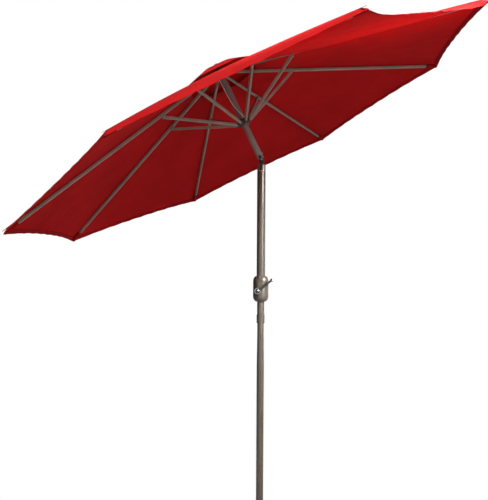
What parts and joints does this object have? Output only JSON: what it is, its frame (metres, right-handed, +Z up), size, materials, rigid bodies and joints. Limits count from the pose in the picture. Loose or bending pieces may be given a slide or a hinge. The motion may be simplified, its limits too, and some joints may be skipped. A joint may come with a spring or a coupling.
{
  "type": "market umbrella",
  "caption": "Tilting crank umbrella: pole with crank housing, tilt joint, mast, hub, runner, folding ribs and struts under a vented red canopy.",
  "frame": {"origin": "centre of the flat underside of the pole's foot plug", "axes": "+Z up along the pole; the open canopy leans towards -X; the crank is on the -Y side"},
  "size_m": [2.1929, 2.4394, 2.4562],
  "materials": {
    "paint": "satin bronze paint on metal tube",
    "alloy": "cast, bare at the slot",
    "zinc": "zinc plated",
    "chrome": "plated",
    "black": "moulded black nylon",
    "nylon": "moulded grey-brown nylon",
    "cloth": "plain woven red canopy cloth",
    "cord": "white braided cord"
  },
  "bodies": {
    "pole": {"foot_plug": "nylon", "lower_pole": "paint", "neck_tube": "paint", "pole_collar": "paint", "upper_pole": "paint", "housing_front": "paint", "housing_back": "paint", "housing_screw_1": "zinc", "housing_screw_2": "zinc", "snap_spring": "zinc", "crank_bush": "nylon", "brake_spring": "zinc", "tilt_socket": "alloy", "tilt_core": "black"},
    "snap_button": {"snap_button": "chrome"},
    "crank": {"crank_shaft": "zinc", "cord_drum": "nylon", "crank_arm": "chrome", "knob_stud": "zinc"},
    "crank_knob": {"crank_knob": "black"},
    "mast": {"mast": "paint", "tilt_yoke": "black", "tilt_pin": "zinc", "tilt_button_spring": "zinc", "rib_hub": "black", "rib_ring_wire": "zinc", "pulley_block": "black", "pulley_axle": "zinc", "finial": "paint", "vent_cap": "cloth", "lift_cord": "cord"},
    "tilt_button": {"tilt_button": "chrome"},
    "pulley": {"pulley": "nylon"},
    "runner": {"runner": "black"},
    "rib_1": {"rib_1": "paint", "canopy_panel_1": "cloth"},
    "strut_1": {"strut_1": "paint"},
    "rib_2": {"rib_2": "paint", "canopy_panel_2": "cloth"},
    "strut_2": {"strut_2": "paint"},
    "rib_3": {"rib_3": "paint", "canopy_panel_3": "cloth"},
    "strut_3": {"strut_3": "paint"},
    "rib_4": {"rib_4": "paint", "canopy_panel_4": "cloth"},
    "strut_4": {"strut_4": "paint"},
    "rib_5": {"rib_5": "paint", "canopy_panel_5": "cloth"},
    "strut_5": {"strut_5": "paint"},
    "rib_6": {"rib_6": "paint", "canopy_panel_6": "cloth"},
    "strut_6": {"strut_6": "paint"},
    "rib_7": {"rib_7": "paint", "canopy_panel_7": "cloth"},
    "strut_7": {"strut_7": "paint"},
    "rib_8": {"rib_8": "paint", "canopy_panel_8": "cloth"},
    "strut_8": {"strut_8": "paint"}
  },
  "joints": [
    {"name": "tilt", "type": "hinge", "parent": "pole", "child": "mast", "pos_m": [0, 0, 1.795], "axis": [0, 1, 0], "range_deg": [0, 26]},
    {"name": "snap_button_press", "type": "slide", "parent": "pole", "child": "snap_button", "axis": [0, -1, 0], "range_m": [0, 0.003], "stiffness_N_per_m": 600, "springref_m": -0.001, "deforming": ["snap_spring"]},
    {"name": "tilt_button_press", "type": "slide", "parent": "mast", "child": "tilt_button", "axis": [-0.8988, 0, -0.4384], "range_m": [0, 0.0045], "stiffness_N_per_m": 600, "springref_m": -0.001, "deforming": ["tilt_button_spring"]},
    {"name": "crank_turn", "type": "hinge", "parent": "pole", "child": "crank", "pos_m": [-0.015, -0.045, 1.103], "axis": [0, -1, 0], "range_deg": [0, 721]},
    {"name": "knob_spin", "type": "hinge", "parent": "crank", "child": "crank_knob", "pos_m": [0.05887, -0.06, 1.16113], "axis": [0, -1, 0], "continuous": true},
    {"name": "runner_slide", "type": "slide", "parent": "mast", "child": "runner", "axis": [0.4384, 0, -0.8988], "range_m": [0, 0.156]},
    {"name": "pulley_turn", "type": "hinge", "parent": "mast", "child": "pulley", "pos_m": [-0.23181, 0, 2.27028], "axis": [0, 1, 0], "range_deg": [0, 1130]},
    {"name": "canopy_fold", "type": "hinge", "parent": "mast", "child": "rib_1", "pos_m": [-0.25655, -0.01722, 2.22617], "axis": [0.344, -0.9239, 0.1678], "range_deg": [0, 66], "deforming": ["canopy_panel_1", "vent_cap"]},
    {"name": "strut_swing_1", "type": "hinge", "parent": "rib_1", "child": "strut_1", "pos_m": [-0.48939, -0.1481, 1.98279], "axis": [0.344, -0.9239, 0.1678], "range_deg": [-138.51, 0]},
    {"name": "rib_fold_2", "type": "hinge", "parent": "mast", "child": "rib_2", "pos_m": [-0.25655, 0.01722, 2.22617], "axis": [-0.344, -0.9239, -0.1678], "range_deg": [0, 66.3], "deforming": ["canopy_panel_2"]},
    {"name": "strut_swing_2", "type": "hinge", "parent": "rib_2", "child": "strut_2", "pos_m": [-0.48939, 0.1481, 1.98279], "axis": [-0.344, -0.9239, -0.1678], "range_deg": [-138.51, 0]},
    {"name": "rib_fold_3", "type": "hinge", "parent": "mast", "child": "rib_3", "pos_m": [-0.23466, 0.04158, 2.23685], "axis": [-0.8304, -0.3827, -0.405], "range_deg": [0, 66.3], "deforming": ["canopy_panel_3"]},
    {"name": "strut_swing_3", "type": "hinge", "parent": "rib_3", "child": "strut_3", "pos_m": [-0.30115, 0.35754, 2.07461], "axis": [-0.8304, -0.3827, -0.405], "range_deg": [-138.51, 0]},
    {"name": "rib_fold_4", "type": "hinge", "parent": "mast", "child": "rib_4", "pos_m": [-0.20371, 0.04158, 2.25195], "axis": [-0.8304, 0.3827, -0.405], "range_deg": [0, 66.3], "deforming": ["canopy_panel_4"]},
    {"name": "strut_swing_4", "type": "hinge", "parent": "rib_4", "child": "strut_4", "pos_m": [-0.03493, 0.35754, 2.20445], "axis": [-0.8304, 0.3827, -0.405], "range_deg": [-138.51, 0]},
    {"name": "rib_fold_5", "type": "hinge", "parent": "mast", "child": "rib_5", "pos_m": [-0.18182, 0.01722, 2.26262], "axis": [-0.344, 0.9239, -0.1678], "range_deg": [0, 66.3], "deforming": ["canopy_panel_5"]},
    {"name": "strut_swing_5", "type": "hinge", "parent": "rib_5", "child": "strut_5", "pos_m": [0.15332, 0.1481, 2.29626], "axis": [-0.344, 0.9239, -0.1678], "range_deg": [-138.51, 0]},
    {"name": "rib_fold_6", "type": "hinge", "parent": "mast", "child": "rib_6", "pos_m": [-0.18182, -0.01722, 2.26262], "axis": [0.344, 0.9239, 0.1678], "range_deg": [0, 66.3], "deforming": ["canopy_panel_6"]},
    {"name": "strut_swing_6", "type": "hinge", "parent": "rib_6", "child": "strut_6", "pos_m": [0.15332, -0.1481, 2.29626], "axis": [0.344, 0.9239, 0.1678], "range_deg": [-138.51, 0]},
    {"name": "rib_fold_7", "type": "hinge", "parent": "mast", "child": "rib_7", "pos_m": [-0.20371, -0.04158, 2.25195], "axis": [0.8304, 0.3827, 0.405], "range_deg": [0, 66.3], "deforming": ["canopy_panel_7"]},
    {"name": "strut_swing_7", "type": "hinge", "parent": "rib_7", "child": "strut_7", "pos_m": [-0.03493, -0.35754, 2.20445], "axis": [0.8304, 0.3827, 0.405], "range_deg": [-138.51, 0]},
    {"name": "rib_fold_8", "type": "hinge", "parent": "mast", "child": "rib_8", "pos_m": [-0.23466, -0.04158, 2.23685], "axis": [0.8304, -0.3827, 0.405], "range_deg": [0, 66.3], "deforming": ["canopy_panel_8"]},
    {"name": "strut_swing_8", "type": "hinge", "parent": "rib_8", "child": "strut_8", "pos_m": [-0.30115, -0.35754, 2.07461], "axis": [0.8304, -0.3827, 0.405], "range_deg": [-138.51, 0]}
  ],
  "couplings": [
    {"joint": "runner_slide", "follows": "canopy_fold", "m_per_rad": 0.13456},
    {"joint": "crank_turn", "follows": "canopy_fold", "ratio": 10.909},
    {"joint": "pulley_turn", "follows": "canopy_fold", "ratio": 17.03},
    {"joint": "strut_swing_1", "follows": "canopy_fold", "ratio": -2.0941},
    {"joint": "rib_fold_2", "follows": "canopy_fold", "ratio": 1},
    {"joint": "strut_swing_2", "follows": "canopy_fold", "ratio": -2.0941},
    {"joint": "rib_fold_3", "follows": "canopy_fold", "ratio": 1},
    {"joint": "strut_swing_3", "follows": "canopy_fold", "ratio": -2.0941},
    {"joint": "rib_fold_4", "follows": "canopy_fold", "ratio": 1},
    {"joint": "strut_swing_4", "follows": "canopy_fold", "ratio": -2.0941},
    {"joint": "rib_fold_5", "follows": "canopy_fold", "ratio": 1},
    {"joint": "strut_swing_5", "follows": "canopy_fold", "ratio": -2.0941},
    {"joint": "rib_fold_6", "follows": "canopy_fold", "ratio": 1},
    {"joint": "strut_swing_6", "follows": "canopy_fold", "ratio": -2.0941},
    {"joint": "rib_fold_7", "follows": "canopy_fold", "ratio": 1},
    {"joint": "strut_swing_7", "follows": "canopy_fold", "ratio": -2.0941},
    {"joint": "rib_fold_8", "follows": "canopy_fold", "ratio": 1},
    {"joint": "strut_swing_8", "follows": "canopy_fold", "ratio": -2.0941}
  ]
}
